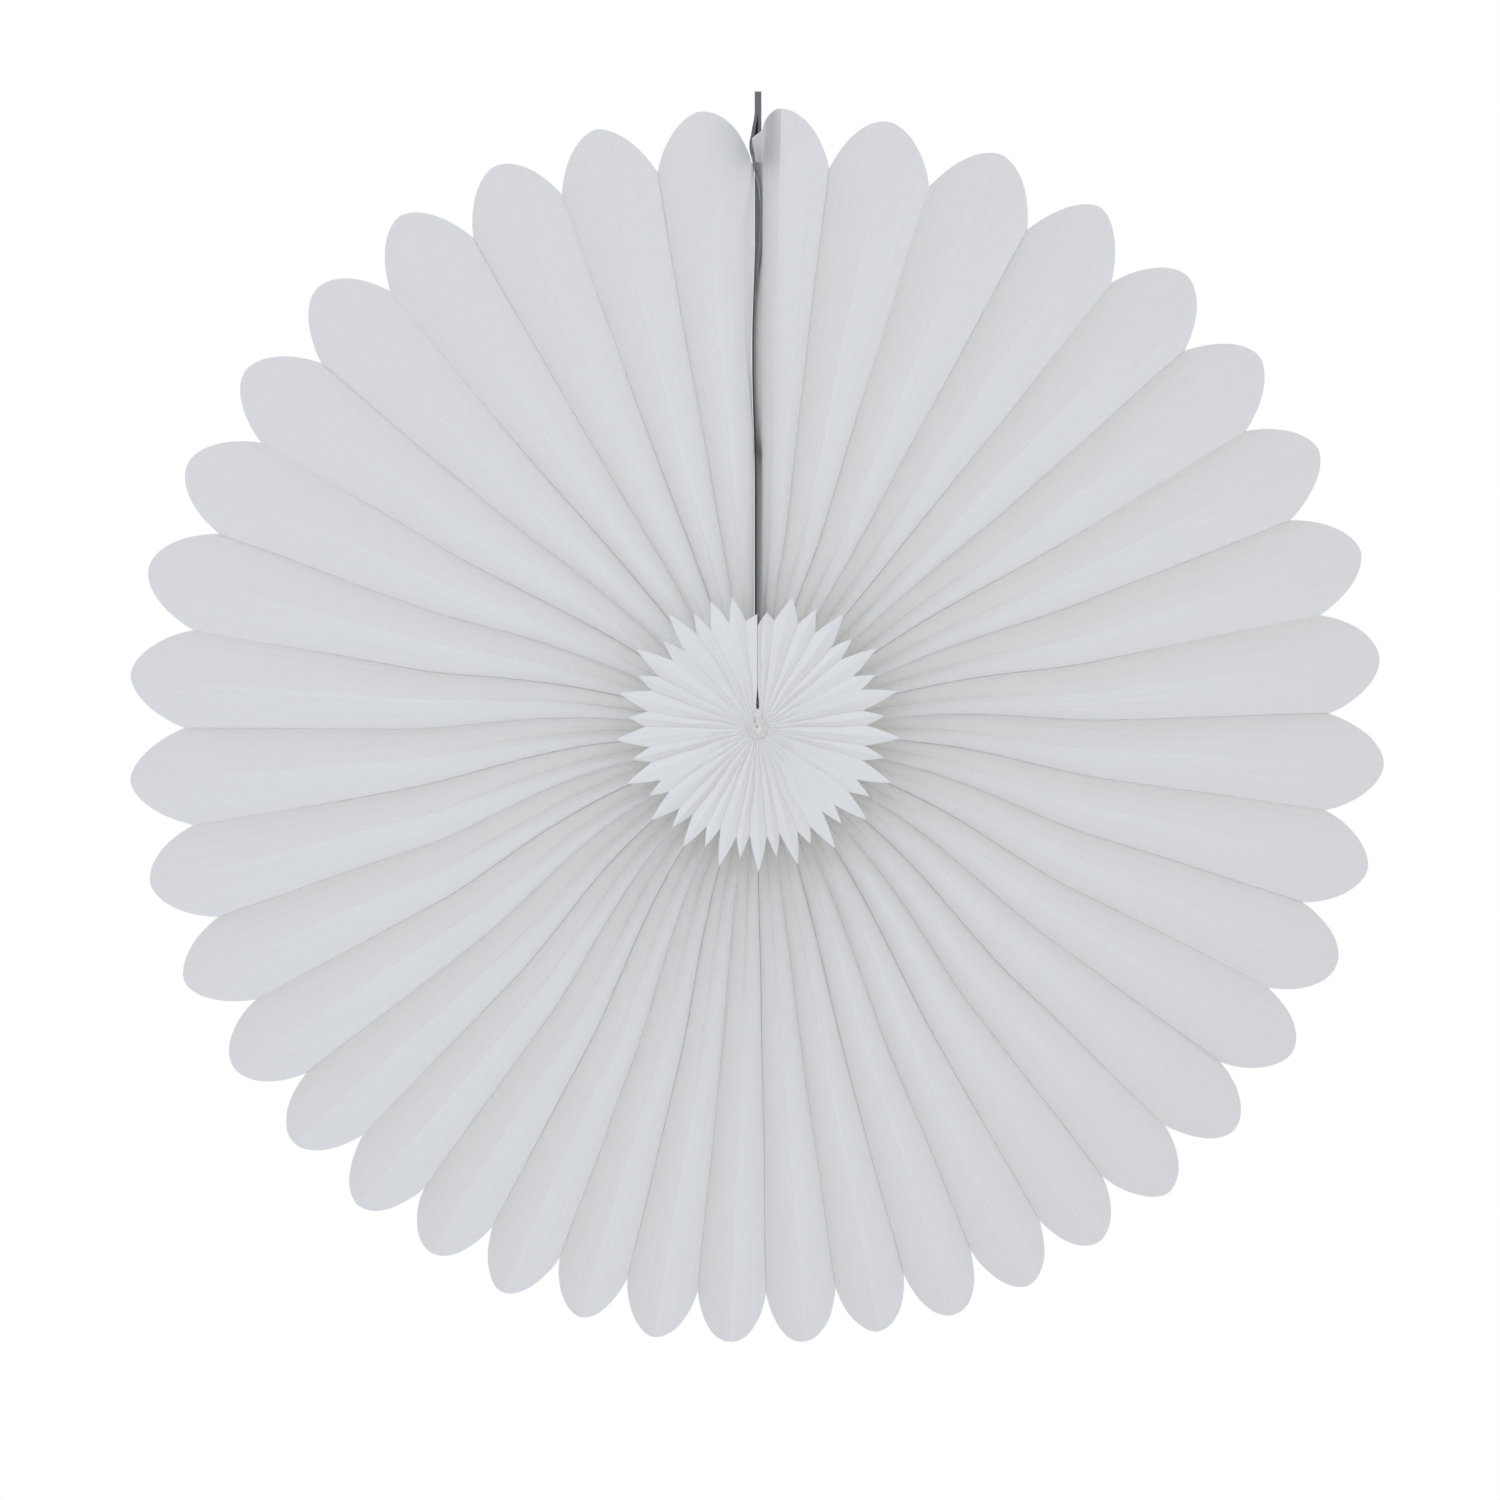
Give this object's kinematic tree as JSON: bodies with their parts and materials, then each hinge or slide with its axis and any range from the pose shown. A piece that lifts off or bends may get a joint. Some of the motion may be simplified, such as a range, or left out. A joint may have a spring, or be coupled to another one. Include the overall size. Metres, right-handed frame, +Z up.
{
  "type": "pleated paper fan rosette",
  "caption": "Round pleated paper fan decoration with petal-cut edge, a small star at its hub, two end cards and a hanging tab.",
  "frame": {"origin": "centre of the hanging hole in the tab, in the middle of the two end cards", "axes": "+Z up, the front of the disc faces -Y, +X to the right seen from the front; the disc's hub axis is parallel to Y, 0.302 m below the origin"},
  "size_m": [0.6027, 0.0275, 0.6038],
  "materials": {
    "white_paper": "matt uncoated white paper",
    "star_paper": "matt uncoated white paper",
    "grey_board": "grey pulp board, matt",
    "cotton_thread": "cotton thread",
    "glue": "dried white glue",
    "adhesive_tape": "double-sided tape"
  },
  "bodies": {
    "card_right": {"end_card_right": "grey_board", "closure_tape": "adhesive_tape", "binding_thread": "cotton_thread", "centre_dab": "glue"},
    "card_left": {"end_card_left": "grey_board"},
    "sheet_00": {"petal_sheet_00": "white_paper", "star_sheet_00": "star_paper"},
    "sheet_01": {"petal_sheet_01": "white_paper", "star_sheet_01": "star_paper"},
    "sheet_02": {"petal_sheet_02": "white_paper", "star_sheet_02": "star_paper"},
    "sheet_03": {"petal_sheet_03": "white_paper", "star_sheet_03": "star_paper"},
    "sheet_04": {"petal_sheet_04": "white_paper", "star_sheet_04": "star_paper"},
    "sheet_05": {"petal_sheet_05": "white_paper", "star_sheet_05": "star_paper"},
    "sheet_06": {"petal_sheet_06": "white_paper", "star_sheet_06": "star_paper"},
    "sheet_07": {"petal_sheet_07": "white_paper", "star_sheet_07": "star_paper"},
    "sheet_08": {"petal_sheet_08": "white_paper", "star_sheet_08": "star_paper"},
    "sheet_09": {"petal_sheet_09": "white_paper", "star_sheet_09": "star_paper"},
    "sheet_10": {"petal_sheet_10": "white_paper", "star_sheet_10": "star_paper"},
    "sheet_11": {"petal_sheet_11": "white_paper", "star_sheet_11": "star_paper"},
    "sheet_12": {"petal_sheet_12": "white_paper", "star_sheet_12": "star_paper"},
    "sheet_13": {"petal_sheet_13": "white_paper", "star_sheet_13": "star_paper"},
    "sheet_14": {"petal_sheet_14": "white_paper", "star_sheet_14": "star_paper"},
    "sheet_15": {"petal_sheet_15": "white_paper", "star_sheet_15": "star_paper"},
    "sheet_16": {"petal_sheet_16": "white_paper", "star_sheet_16": "star_paper"},
    "sheet_17": {"petal_sheet_17": "white_paper", "star_sheet_17": "star_paper"},
    "sheet_18": {"petal_sheet_18": "white_paper", "star_sheet_18": "star_paper"},
    "sheet_19": {"petal_sheet_19": "white_paper", "star_sheet_19": "star_paper"},
    "sheet_20": {"petal_sheet_20": "white_paper", "star_sheet_20": "star_paper"}
  },
  "joints": [
    {"name": "fan_fold", "type": "hinge", "parent": "card_right", "child": "card_left", "pos_m": [0, 0, -0.302], "axis": [0, 1, 0], "range_deg": [-352, 0]},
    {"name": "sheet_00_fold", "type": "hinge", "parent": "card_right", "child": "sheet_00", "pos_m": [0, 0, -0.302], "axis": [0, 1, 0], "range_deg": [-4.37, 0.5], "deforming": ["petal_sheet_00", "star_sheet_00"]},
    {"name": "sheet_01_fold", "type": "hinge", "parent": "card_right", "child": "sheet_01", "pos_m": [0, 0, -0.302], "axis": [0, 1, 0], "range_deg": [-18.09, 0.5], "deforming": ["petal_sheet_01", "star_sheet_01"]},
    {"name": "sheet_02_fold", "type": "hinge", "parent": "card_right", "child": "sheet_02", "pos_m": [0, 0, -0.302], "axis": [0, 1, 0], "range_deg": [-37.8, 0.5], "deforming": ["petal_sheet_02", "star_sheet_02"]},
    {"name": "sheet_03_fold", "type": "hinge", "parent": "card_right", "child": "sheet_03", "pos_m": [0, 0, -0.302], "axis": [0, 1, 0], "range_deg": [-57.53, 0.5], "deforming": ["petal_sheet_03", "star_sheet_03"]},
    {"name": "sheet_04_fold", "type": "hinge", "parent": "card_right", "child": "sheet_04", "pos_m": [0, 0, -0.302], "axis": [0, 1, 0], "range_deg": [-77.13, 0.5], "deforming": ["petal_sheet_04", "star_sheet_04"]},
    {"name": "sheet_05_fold", "type": "hinge", "parent": "card_right", "child": "sheet_05", "pos_m": [0, 0, -0.302], "axis": [0, 1, 0], "range_deg": [-96.26, 0.5], "deforming": ["petal_sheet_05", "star_sheet_05"]},
    {"name": "sheet_06_fold", "type": "hinge", "parent": "card_right", "child": "sheet_06", "pos_m": [0, 0, -0.302], "axis": [0, 1, 0], "range_deg": [-114.51, 0.5], "deforming": ["petal_sheet_06", "star_sheet_06"]},
    {"name": "sheet_07_fold", "type": "hinge", "parent": "card_right", "child": "sheet_07", "pos_m": [0, 0, -0.302], "axis": [0, 1, 0], "range_deg": [-131.53, 0.5], "deforming": ["petal_sheet_07", "star_sheet_07"]},
    {"name": "sheet_08_fold", "type": "hinge", "parent": "card_right", "child": "sheet_08", "pos_m": [0, 0, -0.302], "axis": [0, 1, 0], "range_deg": [-147.21, 0.5], "deforming": ["petal_sheet_08", "star_sheet_08"]},
    {"name": "sheet_09_fold", "type": "hinge", "parent": "card_right", "child": "sheet_09", "pos_m": [0, 0, -0.302], "axis": [0, 1, 0], "range_deg": [-161.76, 0.5], "deforming": ["petal_sheet_09", "star_sheet_09"]},
    {"name": "sheet_10_fold", "type": "hinge", "parent": "card_right", "child": "sheet_10", "pos_m": [0, 0, -0.302], "axis": [0, 1, 0], "range_deg": [-175.66, 0.5], "deforming": ["petal_sheet_10", "star_sheet_10"]},
    {"name": "sheet_11_fold", "type": "hinge", "parent": "card_right", "child": "sheet_11", "pos_m": [0, 0, -0.302], "axis": [0, 1, 0], "range_deg": [-189.56, 0.5], "deforming": ["petal_sheet_11", "star_sheet_11"]},
    {"name": "sheet_12_fold", "type": "hinge", "parent": "card_right", "child": "sheet_12", "pos_m": [0, 0, -0.302], "axis": [0, 1, 0], "range_deg": [-204.14, 0.5], "deforming": ["petal_sheet_12", "star_sheet_12"]},
    {"name": "sheet_13_fold", "type": "hinge", "parent": "card_right", "child": "sheet_13", "pos_m": [0, 0, -0.302], "axis": [0, 1, 0], "range_deg": [-219.87, 0.5], "deforming": ["petal_sheet_13", "star_sheet_13"]},
    {"name": "sheet_14_fold", "type": "hinge", "parent": "card_right", "child": "sheet_14", "pos_m": [0, 0, -0.302], "axis": [0, 1, 0], "range_deg": [-236.95, 0.5], "deforming": ["petal_sheet_14", "star_sheet_14"]},
    {"name": "sheet_15_fold", "type": "hinge", "parent": "card_right", "child": "sheet_15", "pos_m": [0, 0, -0.302], "axis": [0, 1, 0], "range_deg": [-255.25, 0.5], "deforming": ["petal_sheet_15", "star_sheet_15"]},
    {"name": "sheet_16_fold", "type": "hinge", "parent": "card_right", "child": "sheet_16", "pos_m": [0, 0, -0.302], "axis": [0, 1, 0], "range_deg": [-274.41, 0.5], "deforming": ["petal_sheet_16", "star_sheet_16"]},
    {"name": "sheet_17_fold", "type": "hinge", "parent": "card_right", "child": "sheet_17", "pos_m": [0, 0, -0.302], "axis": [0, 1, 0], "range_deg": [-293.99, 0.5], "deforming": ["petal_sheet_17", "star_sheet_17"]},
    {"name": "sheet_18_fold", "type": "hinge", "parent": "card_right", "child": "sheet_18", "pos_m": [0, 0, -0.302], "axis": [0, 1, 0], "range_deg": [-313.63, 0.5], "deforming": ["petal_sheet_18", "star_sheet_18"]},
    {"name": "sheet_19_fold", "type": "hinge", "parent": "card_right", "child": "sheet_19", "pos_m": [0, 0, -0.302], "axis": [0, 1, 0], "range_deg": [-333.13, 0.5], "deforming": ["petal_sheet_19", "star_sheet_19"]},
    {"name": "sheet_20_fold", "type": "hinge", "parent": "card_right", "child": "sheet_20", "pos_m": [0, 0, -0.302], "axis": [0, 1, 0], "range_deg": [-347.67, 0.5], "deforming": ["petal_sheet_20", "star_sheet_20"]}
  ],
  "couplings": [
    {"joint": "sheet_00_fold", "follows": "fan_fold", "ratio": 0.01099},
    {"joint": "sheet_01_fold", "follows": "fan_fold", "ratio": 0.04996},
    {"joint": "sheet_02_fold", "follows": "fan_fold", "ratio": 0.10597},
    {"joint": "sheet_03_fold", "follows": "fan_fold", "ratio": 0.16203},
    {"joint": "sheet_04_fold", "follows": "fan_fold", "ratio": 0.2177},
    {"joint": "sheet_05_fold", "follows": "fan_fold", "ratio": 0.27205},
    {"joint": "sheet_06_fold", "follows": "fan_fold", "ratio": 0.32388},
    {"joint": "sheet_07_fold", "follows": "fan_fold", "ratio": 0.37224},
    {"joint": "sheet_08_fold", "follows": "fan_fold", "ratio": 0.4168},
    {"joint": "sheet_09_fold", "follows": "fan_fold", "ratio": 0.45813},
    {"joint": "sheet_10_fold", "follows": "fan_fold", "ratio": 0.4976},
    {"joint": "sheet_11_fold", "follows": "fan_fold", "ratio": 0.5371},
    {"joint": "sheet_12_fold", "follows": "fan_fold", "ratio": 0.57851},
    {"joint": "sheet_13_fold", "follows": "fan_fold", "ratio": 0.62321},
    {"joint": "sheet_14_fold", "follows": "fan_fold", "ratio": 0.67173},
    {"joint": "sheet_15_fold", "follows": "fan_fold", "ratio": 0.72371},
    {"joint": "sheet_16_fold", "follows": "fan_fold", "ratio": 0.77814},
    {"joint": "sheet_17_fold", "follows": "fan_fold", "ratio": 0.83378},
    {"joint": "sheet_18_fold", "follows": "fan_fold", "ratio": 0.88956},
    {"joint": "sheet_19_fold", "follows": "fan_fold", "ratio": 0.94497},
    {"joint": "sheet_20_fold", "follows": "fan_fold", "ratio": 0.98627}
  ]
}
